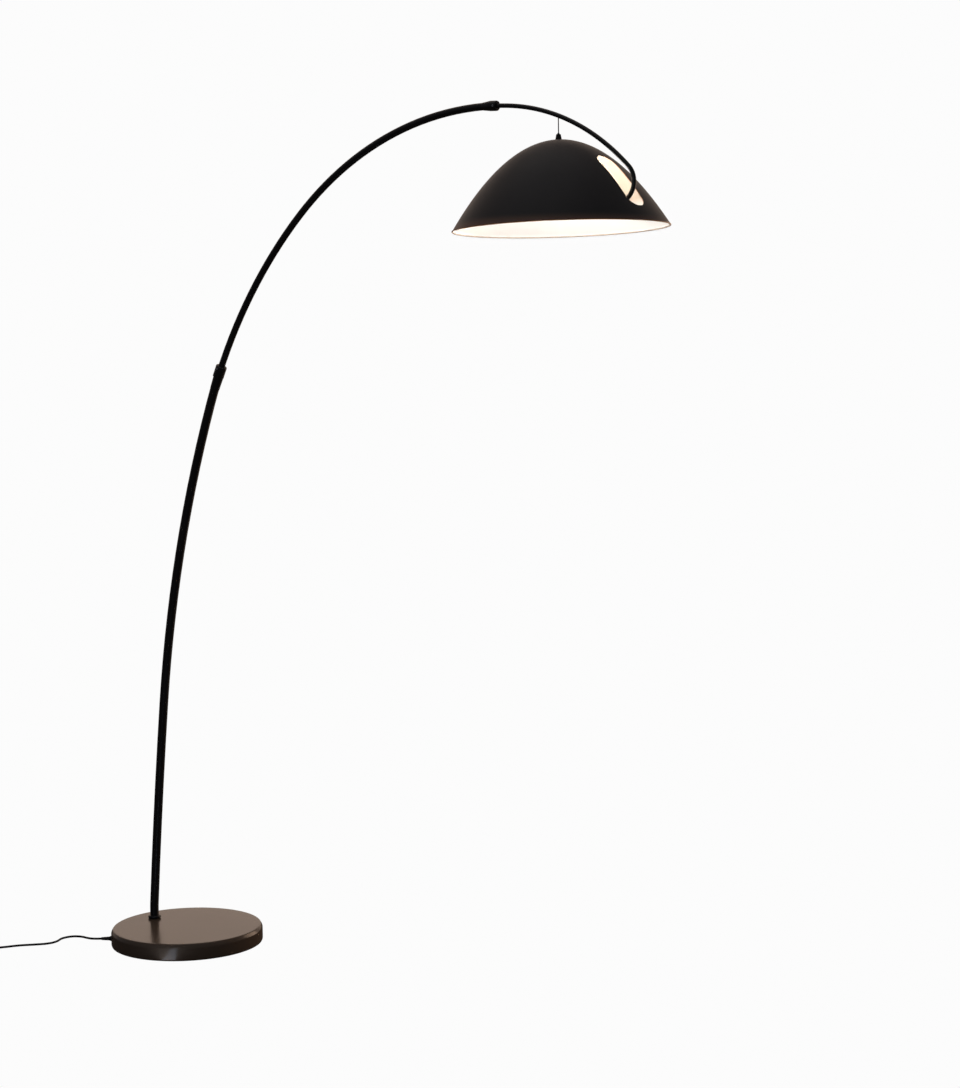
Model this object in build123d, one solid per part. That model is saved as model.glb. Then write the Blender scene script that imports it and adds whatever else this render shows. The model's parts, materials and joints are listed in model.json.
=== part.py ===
from build123d import *
import math
import os

# Arc floor lamp.  Millimetres.  Origin on the floor under the middle of the
# round base, +Z up, +X the way the arm reaches.  The arm lies in the XZ plane.

os.makedirs("parts", exist_ok=True)

# ---------------------------------------------------------------- base
BASE_R = 175.0            # outer radius of the base
BASE_H = 39.0             # floor to top face
BEVEL_W = 4.5             # bevel round the top edge, inward
BEVEL_H = 8.0             # and downward
COVER_WALL = 2.0
COVER_EDGE_Z = 1.0        # lower edge of the cover's wall
PAD_T = 2.0               # foam pad under the base
PAD_R = 168.0
PLATE_T = 1.5
PLATE_R = 171.0
WEIGHT_R = 158.0
WEIGHT_BOTTOM = 17.0
BOSS_R = 9.0
BOSS_CIRCLE = 120.0
BOSS_ANGLES = (0, 120, 240)
PLATE_SCREW_R = 2.5
SCREW_HEAD_R = 4.75
SCREW_HEAD_HOLE_R = 7.0   # through the foam pad
POCKET_R = 19.0           # room under the weight for the arm's nut
POCKET_H = 10.0

# ---------------------------------------------------------------- arm
FOOT_X = -112.9           # where the arm stands on the base
FOOT_STRAIGHT = 20.0
ARM_BENDS = (             # radius and turn in degrees of each bend, foot to tip
    (200.0, 5.0),
    (12620.0, 2.2),
    (2720.0, 15.2),
    (1055.0, 27.3),
    (775.0, 46.0),
    (484.0, 39.2),
)
TIP_BEND_R = 40.3         # the hook that carries the arm into the shade
TIP_STRAIGHT = 52.0
LOWER_R = 10.1            # outer radius and wall of the three tubes
LOWER_WALL = 1.5
MIDDLE_R = 7.5
MIDDLE_WALL = 1.5
UPPER_R = 4.5
UPPER_WALL = 0.8
LOWER_JOINT = 1334.0      # end of each coupling, measured along the arm
UPPER_JOINT = 2343.0
TUBE_OVERLAP = 30.0       # how far a tube reaches into the one below it
# A coupling is a round sleeve with a fairing that blends into the tube below it;
# lean is +1 where the fairing runs out on the inner side of the bend, 0 all round.
LOWER_COUPLING = dict(radius=12.5, sleeve=27.0, fairing=30.0, lean=1, shoulder=13.0)
UPPER_COUPLING = dict(radius=10.2, sleeve=18.0, fairing=18.0, lean=0, shoulder=10.0)
COUPLING_NOSE = 2.4       # rounding of the sleeve's end
COUPLING_SKIN = 0.35      # thickness of a fairing where it runs out
COUPLING_STEP = 0.2       # fine step from the sleeve to its fairing
SCREW_R = 2.0             # grub screws in the couplings
SCREW_SOCKET = 2.0        # their hexagon sockets, across flats
COLLAR_R = 15.0           # ring where the arm meets the base
COLLAR_H = 7.5
STUD_R = 5.0              # hollow stud that bolts the arm to the base
STUD_BORE_R = 4.0
NIPPLE_R = 5.0            # threaded sleeve at the arm's tip
FIT = 0.05

# ---------------------------------------------------------------- lampholder and bulb
HOLDER_R = 19.0           # outside of the holder
HOLDER_SPLIT = 14.0       # from the arm's end to the joint between cap and skirt
SKIRT_END = 46.0
SKIRT_BORE_R = 16.6
SHELL_R = 14.1            # threaded shell
THREAD_R = 13.4           # bore of the shell
BULB_CAP_R = 13.2
CONTACT_R = 4.5
BULB_CAP_START = 30.0
BULB_CAP_END = 53.0
GLOBE_R = 22.5
GLOBE_MID = 78.0

# ---------------------------------------------------------------- shade
SHADE_X = 1125.0          # middle of the rim
SHADE_Z = 1589.0
SHADE_R = 212.5
SHADE_DEPTH = 171.0
SHADE_T = 1.2
SHADE_TILT = 1.3          # degrees, outer side up
SHADE_FLAT_R = 12.0       # flat at the top that the wire grip sits on
RIM_ROLL_R = 1.5
SLOT_LENGTH = 137.4
SLOT_WIDTH = 47.0
SLOT_MID_R = 152.4        # middle of the slot, from the shade's axis
SLOT_TURN = -2.1          # degrees; the shade hangs slightly twisted
SHADE_HOLE_R = 5.2        # for the wire grip
GRIP_THREAD_R = 5.0
WIRE_BORE_R = 1.55        # passage for the wire in the grip
WIRE_R = 1.1
WIRE_BALL_R = 1.7         # crimped on the top of the wire
BALL_RING_R = 2.0         # inner radius of the loose ring round the ball
WIRE_TAIL = 68.0          # spare wire below the top of the shade

# ---------------------------------------------------------------- cord
CORD_D = 5.0
CABLE_D = 3.0             # cable inside the arm
CABLE_OFFSET = 1.9        # it lies against the outer side of the bends
CORD_Z = 11.0             # height of the cord's exit from the base
GLAND_ANGLE = -139.0
GLAND_END_R = 200.0
GLAND_R = 6.0             # its collar outside the base
GLAND_THREAD_R = 4.1
SWITCH_L = 66.0
SWITCH_W = 34.0
SWITCH_H = 19.0
SWITCH_AXIS_Z = 7.0       # height of the cord where it enters the switch
SWITCH_SPLIT = 9.0        # height of the joint between its base and cover
SWITCH_WALL = 1.8
SWITCH_SCREW_X = 22.0
BUTTON_R = 10.0
BUSH_L = 12.0
COIL_R = 26.0             # middle of the coil's turns
COIL_ROWS = 3             # turns side by side
COIL_LAYERS = 4
TIE_T = 0.9
TIE_W = 7.0
PLUG_L = 36.0
PLUG_W = 27.0
PLUG_T = 13.8
PIN_R = 2.0
PIN_ROOT_R = 1.5          # part moulded into the plug
PIN_SPACING = 19.0
PIN_WALL = 18.0           # straight part of a pin; a 1 mm chamfer follows
RELIEF_L = 20.0

GLAND_DIR = Vector(math.cos(math.radians(GLAND_ANGLE)), math.sin(math.radians(GLAND_ANGLE)), 0)
TOP_R = BASE_R - BEVEL_W
TIP_TURN = 270.0 - sum(turn for _, turn in ARM_BENDS)

# Route of the free cord from the gland to the foot switch.
LEAD_ROUTE = (
    tuple(GLAND_DIR * GLAND_END_R + Vector(0, 0, CORD_Z)),
    (-167.0, -143.0, 10.4),
    (-192.0, -141.0, 8.4),
    (-219.0, -132.5, 5.4),
    (-248.0, -138.0, 3.0),
    (-255.0, -165.0, 2.6),
    (-239.0, -190.0, 2.6),
    (-241.0, -216.0, 2.6),
    (-263.0, -243.0, 2.6),
    (-285.0, -268.0, 2.6),
    (-301.0, -302.0, 2.6),
    (-316.0, -333.0, 5.0),
    (-322.6, -347.6, SWITCH_AXIS_Z),
)


def export(name, shape):
    shape.label = name
    export_step(shape, f"parts/{name}.step")


def tube(outer, inner, low, high):
    """A ring or sleeve round the Z axis."""
    ring = Circle(outer) - Circle(inner)
    return Pos(0, 0, low) * extrude(ring, high - low)


def disc(radius, low, high):
    return Pos(0, 0, low) * extrude(Circle(radius), high - low)


def turned(points):
    """Revolve a closed outline of (radius, height) points round Z."""
    outline = make_face(Polyline(*points, close=True))
    return revolve(Plane.XZ * outline, Axis.Z)


def hexagon(flats, low, high):
    shape = RegularPolygon(flats / 2, 6, major_radius=False)
    return Pos(0, 0, low) * extrude(shape, high - low)


# ---------------------------------------------------------------- arm path
def arm_pieces():
    """(start along the arm, length, radius or None) of each piece of the arm."""
    pieces = [(0.0, FOOT_STRAIGHT, None)]
    for radius, turn in ARM_BENDS + ((TIP_BEND_R, TIP_TURN),):
        start = pieces[-1][0] + pieces[-1][1]
        pieces.append((start, radius * math.radians(turn), radius))
    start = pieces[-1][0] + pieces[-1][1]
    pieces.append((start, TIP_STRAIGHT, None))
    return pieces


def step_along(point, heading, length, radius):
    """Move along one piece; heading is in radians from +Z towards +X."""
    x, z = point
    if radius is None:
        return (x + length * math.sin(heading), z + length * math.cos(heading)), heading
    new = heading + length / radius
    x += radius * (math.cos(heading) - math.cos(new))
    z += radius * (math.sin(new) - math.sin(heading))
    return (x, z), new


def arm_at(distance):
    """Point and heading at a distance along the arm."""
    point, heading = (FOOT_X, BASE_H), 0.0
    for start, length, radius in arm_pieces():
        part = min(max(distance - start, 0.0), length)
        point, heading = step_along(point, heading, part, radius)
    return point, heading


def arm_path(first, last, offset=0.0):
    """The stretch of the arm's line between two distances, moved outward by offset."""
    edges = []
    for start, length, radius in arm_pieces():
        low, high = max(first, start), min(last, start + length)
        if high - low < 1e-6:
            continue
        (x, z), heading = arm_at(low)
        x -= offset * math.cos(heading)
        z += offset * math.sin(heading)
        along = (math.sin(heading), math.cos(heading))
        if radius is None:
            edges.append(Line((x, z), (x + along[0] * (high - low), z + along[1] * (high - low))))
        else:
            turn = math.degrees((high - low) / radius)
            edges.append(JernArc((x, z), along, radius + offset, -turn))
    return Plane.XZ * Wire(edges)


def arm_tube(first, last, outer, inner=0.0, offset=0.0):
    path = arm_path(first, last, offset)
    section = Circle(outer)
    if inner:
        section -= Circle(inner)
    return sweep(Plane(origin=path @ 0, z_dir=path % 0) * section, path=path)


def arm_plane(distance):
    """Plane across the arm; its Z axis points along the arm and its X axis to -Y."""
    (x, z), heading = arm_at(distance)
    return Plane(origin=(x, 0, z), x_dir=(0, -1, 0), z_dir=(math.sin(heading), 0, math.cos(heading)))


ARM_LENGTH = sum(length for _, length, _ in arm_pieces())
LOWER_END = LOWER_JOINT - LOWER_COUPLING["shoulder"]
UPPER_END = UPPER_JOINT - UPPER_COUPLING["shoulder"]


def wire_anchor():
    """Centre of the arm above the shade's axis."""
    x = SHADE_X - SHADE_DEPTH * math.sin(math.radians(SHADE_TILT))
    start, _, radius = arm_pieces()[len(ARM_BENDS)]
    (px, pz), heading = arm_at(start)
    cx, cz = px + radius * math.cos(heading), pz - radius * math.sin(heading)
    return x, cz + math.sqrt(radius ** 2 - (x - cx) ** 2)


WIRE_X, WIRE_ARM_Z = wire_anchor()
PIVOT_Z = WIRE_ARM_Z - (UPPER_R - UPPER_WALL - WIRE_BALL_R) + 0.1


# ---------------------------------------------------------------- base pieces
def build_base():
    top = BASE_H
    groove = 0.5
    bevel_z = BASE_H - BEVEL_H
    outline = [
        (0, top), (TOP_R - 0.6, top), (TOP_R, top - 0.5), (BASE_R, bevel_z),
        (BASE_R, bevel_z - 0.3), (BASE_R - groove, bevel_z - 0.7), (BASE_R, bevel_z - 1.1),
        (BASE_R, 4.0), (BASE_R - 1.2, COVER_EDGE_Z),
        (BASE_R - COVER_WALL, COVER_EDGE_Z), (BASE_R - COVER_WALL, bevel_z - 1.0),
        (TOP_R - COVER_WALL, top - COVER_WALL), (0, top - COVER_WALL),
    ]
    cover = turned(outline)
    cover -= Pos(FOOT_X, 0, 0) * disc(5.3, top - 5, top + 1)
    cover -= gland_place() * disc(4.2, BASE_R - 8, BASE_R + 4)
    export("base_cover", cover)

    weight = disc(WEIGHT_R, WEIGHT_BOTTOM, top - COVER_WALL)
    pocket_top = WEIGHT_BOTTOM + POCKET_H
    weight -= Pos(FOOT_X, 0, 0) * disc(POCKET_R, WEIGHT_BOTTOM, pocket_top)
    weight -= Pos(FOOT_X, 0, 0) * disc(5.4, pocket_top, top)
    plate_top = PAD_T + PLATE_T
    plate = disc(PLATE_R, PAD_T, plate_top)
    pad = disc(PAD_R, 0, PAD_T)
    screws = []
    for angle in BOSS_ANGLES:
        spot = Rot(0, 0, angle) * Pos(BOSS_CIRCLE, 0, 0)
        weight += spot * disc(BOSS_R, plate_top, WEIGHT_BOTTOM)
        weight -= spot * disc(PLATE_SCREW_R, plate_top, WEIGHT_BOTTOM + 2)
        plate -= spot * disc(PLATE_SCREW_R + 0.3, PAD_T - 1, plate_top + 1)
        pad -= spot * disc(SCREW_HEAD_HOLE_R, -1, PAD_T + 1)
        screw = disc(PLATE_SCREW_R, PAD_T, WEIGHT_BOTTOM) + disc(SCREW_HEAD_R, 0.4, PAD_T)
        screw -= hexagon(3.0, 0.3, 1.5)
        screws.append(spot * screw)
    export("base_weight", weight)
    export("base_plate", plate)
    export("base_pad", pad)
    export("base_plate_screws", Compound(children=screws))


def build_foot():
    """What holds the arm to the base."""
    spot = Pos(FOOT_X, 0, 0)
    collar = tube(COLLAR_R, LOWER_R + FIT, BASE_H, BASE_H + COLLAR_H)
    collar = fillet(collar.edges().filter_by(GeomType.CIRCLE).group_by(SortBy.RADIUS)[-1], 3.4)
    export("foot_collar", spot * collar)
    insert = tube(LOWER_R - LOWER_WALL, STUD_R, BASE_H, BASE_H + 18)
    export("tube_insert", spot * insert)
    stud = tube(STUD_R, STUD_BORE_R, WEIGHT_BOTTOM + 1.5, BASE_H + 16)
    export("hollow_stud", spot * stud)
    washer_top = WEIGHT_BOTTOM + POCKET_H
    export("foot_washer", spot * tube(16, 5.2, washer_top - 1.5, washer_top))
    nut = hexagon(17, washer_top - 6.5, washer_top - 1.5) - disc(STUD_R, 0, 60)
    export("foot_nut", spot * nut)


def gland_place():
    """Z axis along the cord's exit, starting on the base's axis."""
    return Plane(origin=(0, 0, CORD_Z), x_dir=(0, 0, 1), z_dir=GLAND_DIR).location


def build_gland():
    bore = CORD_D / 2 + FIT
    gland = turned([
        (bore, BASE_R - 7), (GLAND_THREAD_R, BASE_R - 7), (GLAND_THREAD_R, BASE_R + 0.2),
        (GLAND_R, BASE_R + 0.2), (GLAND_R, BASE_R + 3.6), (5.2, BASE_R + 5.0), (4.6, BASE_R + 5.4),
        (3.4, GLAND_END_R - 0.6), (3.1, GLAND_END_R), (bore, GLAND_END_R),
    ])
    export("cord_gland", gland_place() * gland)
    nut = hexagon(11, BASE_R - 6, BASE_R - 2.4) - disc(GLAND_THREAD_R, 100, 200)
    export("gland_nut", gland_place() * nut)


# ---------------------------------------------------------------- wiring inside
def cord_tube(points, diameter, name):
    """A round cord along straight runs joined by tangent arcs."""
    spots = [Vector(*p) for p in points]
    runs = [b - a for a, b in zip(spots, spots[1:])]
    radii = []
    for one, two in zip(runs, runs[1:]):
        turn = math.radians(one.get_angle(two))
        radii.append(0.45 * min(one.length, two.length) / math.tan(turn / 2))
    path = FilletPolyline(*spots, radius=radii)
    print(name, "radii", [round(r, 1) for r in radii], "length", round(path.length, 1))
    return sweep(Plane(origin=path @ 0, z_dir=path % 0) * Circle(diameter / 2), path=path)


BLOCK_Y = (-51.0, -29.0)


def build_wiring():
    block = Pos(FOOT_X, sum(BLOCK_Y) / 2, 10.5) * Box(18, BLOCK_Y[1] - BLOCK_Y[0], 12)
    for side in (-4.5, 4.5):
        block -= Pos(FOOT_X + side, sum(BLOCK_Y) / 2, 14.5) * Cylinder(2.2, 5)
    export("terminal_block", block)

    corner = GLAND_DIR * 149.0 + Vector(0, 0, CORD_Z)
    end = GLAND_DIR * GLAND_END_R + Vector(0, 0, CORD_Z)
    path = FilletPolyline((FOOT_X, BLOCK_Y[0], CORD_Z), corner, end, radius=[40.0])
    section = Plane(origin=path @ 0, z_dir=path % 0) * Circle(CORD_D / 2)
    export("cord_tail", sweep(section, path=path))

    x, bend, low = FOOT_X - CABLE_OFFSET, 8.0, CORD_Z
    middle = bend * math.sqrt(0.5)
    under = [
        Line((x, BLOCK_Y[1], low), (x, -bend, low)),
        ThreePointArc((x, -bend, low), (x, middle - bend, low + bend - middle), (x, 0, low + bend)),
        Line((x, 0, low + bend), (x, 0, BASE_H)),
    ]
    up = arm_path(0, ARM_LENGTH + 6, CABLE_OFFSET)
    path = Wire(under + list(up.edges()))
    section = Plane(origin=path @ 0, z_dir=path % 0) * Circle(CABLE_D / 2)
    export("inner_cable", sweep(section, path=path))


# ---------------------------------------------------------------- arm pieces
def coupling(name, end, sizes, below, above):
    """Sleeve joining two tubes; it hides the step between their diameters."""
    radius, sleeve = sizes["radius"], sizes["sleeve"]
    length = sleeve + sizes["fairing"]
    body = disc(radius, -sleeve, 0)
    body = fillet(body.edges().sort_by(Axis.Z)[-1], COUPLING_NOSE)
    body = arm_plane(end).location * body
    thin = below + COUPLING_SKIN
    wide = radius - COUPLING_STEP
    if sizes["lean"]:
        wide = (wide + thin) / 2
    aside = sizes["lean"] * (radius - COUPLING_STEP - wide)
    body += loft([
        arm_plane(end - length).location * Circle(thin),
        arm_plane(end).location * Pos(0, aside, -sleeve) * Circle(wide),
    ])
    body -= arm_tube(end - length - 5, end - sizes["shoulder"], below)
    body -= arm_tube(end - sizes["shoulder"], end + 5, above + FIT)
    middle = end - sizes["shoulder"] / 2
    body -= arm_plane(middle).location * Rot(0, 90, 0) * disc(SCREW_R + FIT, above - 1, radius + 2)
    screw = disc(SCREW_R, above + FIT, radius - 0.4) - hexagon(SCREW_SOCKET, radius - 2.4, radius)
    export(name, body)
    return arm_plane(middle).location * Rot(0, 90, 0) * screw


def build_arm():
    export("lower_tube", arm_tube(0, LOWER_END, LOWER_R, LOWER_R - LOWER_WALL))
    start = LOWER_END - TUBE_OVERLAP
    export("middle_tube", arm_tube(start, UPPER_END, MIDDLE_R, MIDDLE_R - MIDDLE_WALL))
    upper = arm_tube(UPPER_END - TUBE_OVERLAP, ARM_LENGTH, UPPER_R, UPPER_R - UPPER_WALL)
    upper -= Pos(WIRE_X, 0, WIRE_ARM_Z) * disc(1.6, -8, -1)
    export("upper_tube", upper)
    screws = [
        coupling("lower_coupling", LOWER_JOINT, LOWER_COUPLING, LOWER_R, MIDDLE_R),
        coupling("upper_coupling", UPPER_JOINT, UPPER_COUPLING, MIDDLE_R, UPPER_R),
    ]
    export("coupling_screws", Compound(children=screws))


# ---------------------------------------------------------------- lampholder and bulb
def build_holder():
    """Z runs from the end of the arm towards the bulb, which points to the shade's axis."""
    (x, z), _ = arm_at(ARM_LENGTH)
    place = Plane(origin=(x, 0, z), x_dir=(0, 1, 0), z_dir=(-1, 0, 0)).location
    nipple = tube(NIPPLE_R, UPPER_R + FIT, -10, 0) + tube(NIPPLE_R, UPPER_R - UPPER_WALL, 0, 5)
    export("tip_nipple", place * nipple)
    cap = turned([
        (NIPPLE_R, -11), (7.5, -11), (8.2, -10), (8.6, -5), (12.5, -2), (17.5, 4), (HOLDER_R, 9),
        (HOLDER_R, HOLDER_SPLIT), (17.4, HOLDER_SPLIT), (17.4, 9.5), (15.8, 5.2), (11.5, 0),
        (7.0, -1), (NIPPLE_R, -1),
    ])
    export("holder_cap", place * cap)
    skirt = turned([
        (SKIRT_BORE_R, HOLDER_SPLIT), (HOLDER_R, HOLDER_SPLIT), (HOLDER_R, SKIRT_END - 4),
        (HOLDER_R - 0.8, SKIRT_END), (SKIRT_BORE_R, SKIRT_END),
    ])
    export("holder_skirt", place * skirt)
    core = disc(15.4, 6.0, 24.0)
    core -= Pos(0, 6.5, 0) * disc(2.0, 5, 12)
    core -= Pos(0, -6.5, 0) * disc(2.0, 5, 12)
    export("holder_core", place * core)
    export("thread_shell", place * tube(SHELL_R, THREAD_R, 24.0, 44.0))
    export("centre_contact", place * disc(3.0, 24.0, 27.0))
    cap_bore, low = BULB_CAP_R - 0.7, BULB_CAP_START
    cap_shell = tube(BULB_CAP_R, cap_bore, low, BULB_CAP_END) + turned([
        (CONTACT_R, low - 1.6), (cap_bore, low), (BULB_CAP_R, low), (BULB_CAP_R, low + 1),
        (cap_bore, low + 1), (CONTACT_R, low - 0.8),
    ])
    export("bulb_cap", place * cap_shell)
    export("bulb_contact", place * (disc(CONTACT_R, low - 1.6, low - 0.8) + disc(2.2, low - 3.0, low - 1.6)))
    neck = (12.4, BULB_CAP_END - 6)
    join_angle = math.radians(222)
    join = (GLOBE_R * -math.cos(join_angle), GLOBE_MID + GLOBE_R * math.sin(join_angle))
    outline = [
        Line((0, neck[1]), neck),
        Line(neck, (neck[0], 54.0)),
        Line((neck[0], 54.0), join),
        ThreePointArc(join, (GLOBE_R, GLOBE_MID), (0, GLOBE_MID + GLOBE_R)),
        Line((0, GLOBE_MID + GLOBE_R), (0, neck[1])),
    ]
    globe = revolve(Plane.XZ * make_face(outline), Axis.Z)
    export("bulb_globe", place * globe)


# ---------------------------------------------------------------- shade and its wire
def shade_height(radius):
    """Height of the shade's outer surface above its rim."""
    return SHADE_DEPTH * (1 - (radius / SHADE_R) ** 2)


def shade_place():
    return Location((SHADE_X, 0, SHADE_Z), (0, -SHADE_TILT, 0))


SHADE_TOP = shade_height(SHADE_FLAT_R)


def build_shade():
    outer, inner = [], []
    steps = 10
    for i in range(steps + 1):
        radius = SHADE_FLAT_R + (SHADE_R - SHADE_FLAT_R) * i / steps
        slope = math.atan(2 * SHADE_DEPTH * radius / SHADE_R ** 2)
        height = shade_height(radius)
        outer.append((radius, height))
        inner.append((radius - SHADE_T * math.sin(slope), height - SHADE_T * math.cos(slope)))
    outline = [
        Line((SHADE_HOLE_R, SHADE_TOP), outer[0]),
        Spline(*outer),
        Line(outer[-1], inner[-1]),
        Spline(*reversed(inner)),
        Line(inner[0], (SHADE_HOLE_R, inner[0][1])),
        Line((SHADE_HOLE_R, inner[0][1]), (SHADE_HOLE_R, SHADE_TOP)),
    ]
    shade = revolve(Plane.XZ * make_face(outline), Axis.Z)
    roll = Torus(SHADE_R - SHADE_T / 2, RIM_ROLL_R)
    shade += roll
    slope = math.atan(2 * SHADE_DEPTH * SLOT_MID_R / SHADE_R ** 2)
    middle = (SLOT_MID_R, 0, shade_height(SLOT_MID_R))
    along = (math.cos(slope), 0, -math.sin(slope))
    out = (math.sin(slope), 0, math.cos(slope))
    cutter = extrude(SlotOverall(SLOT_LENGTH, SLOT_WIDTH), 45, both=True)
    shade -= Rot(0, 0, SLOT_TURN) * Plane(origin=middle, x_dir=along, z_dir=out).location * cutter
    export("shade", shade_place() * shade)


def build_suspension():
    pivot = Pos(WIRE_X, 0, PIVOT_Z)
    ball = Sphere(WIRE_BALL_R) - Cylinder(WIRE_R, 4 * WIRE_BALL_R)
    export("wire_ball", pivot * ball)
    export("ball_ring", pivot * tube(BALL_RING_R + 0.4, BALL_RING_R, -0.25, 0.25))
    tail_z = SHADE_Z + SHADE_DEPTH - WIRE_TAIL
    top = PIVOT_Z + WIRE_BALL_R - 0.6
    export("suspension_wire", Pos(WIRE_X, 0, 0) * disc(WIRE_R, tail_z, top))
    stop = tube(2.6, WIRE_R, tail_z - 1, tail_z + 7)
    stop += disc(2.6, tail_z - 2, tail_z)
    export("wire_end_stop", Pos(WIRE_X, 0, 0) * stop)

    base = SHADE_TOP
    body = turned([
        (WIRE_BORE_R, base - 14), (GRIP_THREAD_R, base - 14), (GRIP_THREAD_R, base),
        (6.4, base), (6.4, base + 1.2),
        (4.5, base + 11), (2.25, base + 11), (2.25, base + 7), (2.75, base + 6.4),
        (3.4, base + 1), (3.4, base - 12), (WIRE_BORE_R, base - 12),
    ])
    export("grip_body", shade_place() * body)
    plunger = turned([
        (WIRE_BORE_R, base + 4.6), (2.55, base + 4.6), (2.55, base + 5.6), (2.2, base + 5.6),
        (2.2, base + 13.2), (1.9, base + 13.5), (WIRE_BORE_R, base + 13.5),
    ])
    export("release_plunger", shade_place() * plunger)
    balls = []
    for angle in (0, 120, 240):
        balls.append(Rot(0, 0, angle) * Pos(2.3, 0, base + 2.2) * Sphere(0.9))
    export("grip_balls", shade_place() * Compound(children=balls))
    export("grip_spring", shade_place() * tube(3.0, 1.7, base - 11.8, base + 1.2))
    washer_top = base - SHADE_T
    export("shade_washer", shade_place() * tube(11.5, SHADE_HOLE_R, washer_top - 1.2, washer_top))
    nut = hexagon(14, washer_top - 5.2, washer_top - 1.2) - disc(GRIP_THREAD_R, 0, 300)
    export("shade_nut", shade_place() * nut)


# ---------------------------------------------------------------- cord, switch and plug
LEAD_END = Vector(*LEAD_ROUTE[-1])
LEAD_DIR = (LEAD_END - Vector(*LEAD_ROUTE[-2])).normalized()
CORD_DIR = Vector(LEAD_DIR.X, LEAD_DIR.Y, 0).normalized()
SWITCH_MID = Vector(LEAD_END.X, LEAD_END.Y, 0) + CORD_DIR * (BUSH_L + SWITCH_L / 2)


def switch_place():
    """On the floor, X along the cord."""
    return Plane(origin=SWITCH_MID, x_dir=CORD_DIR, z_dir=(0, 0, 1)).location


def rounded_block(length, width, low, high, corner, edge, edge_top=True):
    block = extrude(RectangleRounded(length, width, corner), high - low)
    face = block.faces().sort_by(Axis.Z)[-1 if edge_top else 0]
    block = fillet(face.edges(), edge)
    return Pos(0, 0, low) * block


def build_switch():
    split, wall = SWITCH_SPLIT, SWITCH_WALL
    inner_l, inner_w = SWITCH_L - 2 * wall, SWITCH_W - 2 * wall
    lower = rounded_block(SWITCH_L, SWITCH_W, 0, split, 14, 1.5, edge_top=False)
    lower -= Pos(0, 0, wall) * extrude(RectangleRounded(inner_l, inner_w, 12), split)
    upper = rounded_block(SWITCH_L, SWITCH_W, split, SWITCH_H, 14, 4.0)
    upper -= rounded_block(inner_l, inner_w, split, SWITCH_H - wall, 12, 3.0)
    upper -= disc(BUTTON_R + FIT, split, SWITCH_H + 2)
    bush_hole = Pos(0, 0, SWITCH_AXIS_Z) * Rot(0, 90, 0) * Cylinder(4.0, SWITCH_L + 20)
    posts, screws = [], []
    for side in (-1, 1):
        spot = Pos(side * SWITCH_SCREW_X, 0, 0)
        posts.append(spot * disc(3.4, split - 2, SWITCH_H - wall))
        lower += spot * disc(3.4, wall, split - 2)
        lower -= spot * disc(1.7, -1, split)
        lower -= spot * disc(3.1, -1, 2.2)
        screws.append(spot * (disc(1.5, 2.2, 14) + disc(2.9, 0.4, 2.2) - hexagon(2.0, 0.3, 1.4)))
    for post in posts:
        upper += post
    for side in (-1, 1):
        upper -= Pos(side * SWITCH_SCREW_X, 0, 0) * disc(1.5, split - 3, 14.2)
    export("switch_base", switch_place() * (lower - bush_hole))
    export("switch_cover", switch_place() * (upper - bush_hole))
    export("switch_screws", switch_place() * Compound(children=screws))
    block = Pos(0, 0, wall + 2.5) * Box(24, 20, 5)
    export("switch_block", switch_place() * block)
    button = disc(BUTTON_R, 12.0, 23.0)
    button = fillet(button.edges().sort_by(Axis.Z)[-1], 2.0)
    button += disc(11.6, 12.0, 13.6)
    button -= disc(4.2, 11, 16)
    export("foot_button", switch_place() * button)
    export("button_spring", switch_place() * tube(3.9, 3.0, wall + 5, 16))
    bushes = []
    for side in (-1, 1):
        bore = CORD_D / 2 + FIT
        bush = turned([(bore, 0), (3.1, 0), (4.0, BUSH_L), (3.9, BUSH_L + 4), (bore, BUSH_L + 4)])
        turn = Rot(0, 90, 0) if side < 0 else Rot(0, -90, 0)
        bushes.append(Pos(side * (SWITCH_L / 2 + BUSH_L), 0, SWITCH_AXIS_Z) * turn * bush)
    export("switch_bushes", switch_place() * Compound(children=bushes))


SUPPLY_START = SWITCH_MID + CORD_DIR * (SWITCH_L / 2 + BUSH_L) + Vector(0, 0, SWITCH_AXIS_Z)
SIDE_DIR = Vector(CORD_DIR.Y, -CORD_DIR.X, 0)
COIL_OUTER_ROW = COIL_R + (COIL_ROWS - 1) / 2 * CORD_D
COIL_MID = Vector(SUPPLY_START.X, SUPPLY_START.Y, 0) + CORD_DIR * 42 + SIDE_DIR * COIL_OUTER_ROW
COIL_TOP = TIE_T + COIL_LAYERS * CORD_D


def by_coil(back, side, height):
    """A point beside the coil: back towards the switch, sideways and up."""
    return COIL_MID - CORD_DIR * back + SIDE_DIR * side + Vector(0, 0, height)


SUPPLY_ROUTE = (
    SUPPLY_START,
    SUPPLY_START + CORD_DIR * 9,
    by_coil(20.5, -COIL_OUTER_ROW, TIE_T + CORD_D / 2),
    by_coil(12.5, -COIL_OUTER_ROW, TIE_T + CORD_D / 2),
)
PLUG_ROUTE = (
    by_coil(12.0, COIL_OUTER_ROW, 18.3),
    by_coil(22.0, COIL_OUTER_ROW, 17.4),
    by_coil(37.0, COIL_OUTER_ROW + 2.0, 10.4),
    by_coil(47.0, COIL_OUTER_ROW + 4.4, 7.5),
    by_coil(57.0, COIL_OUTER_ROW + 7.2, PLUG_T / 2),
)


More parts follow.
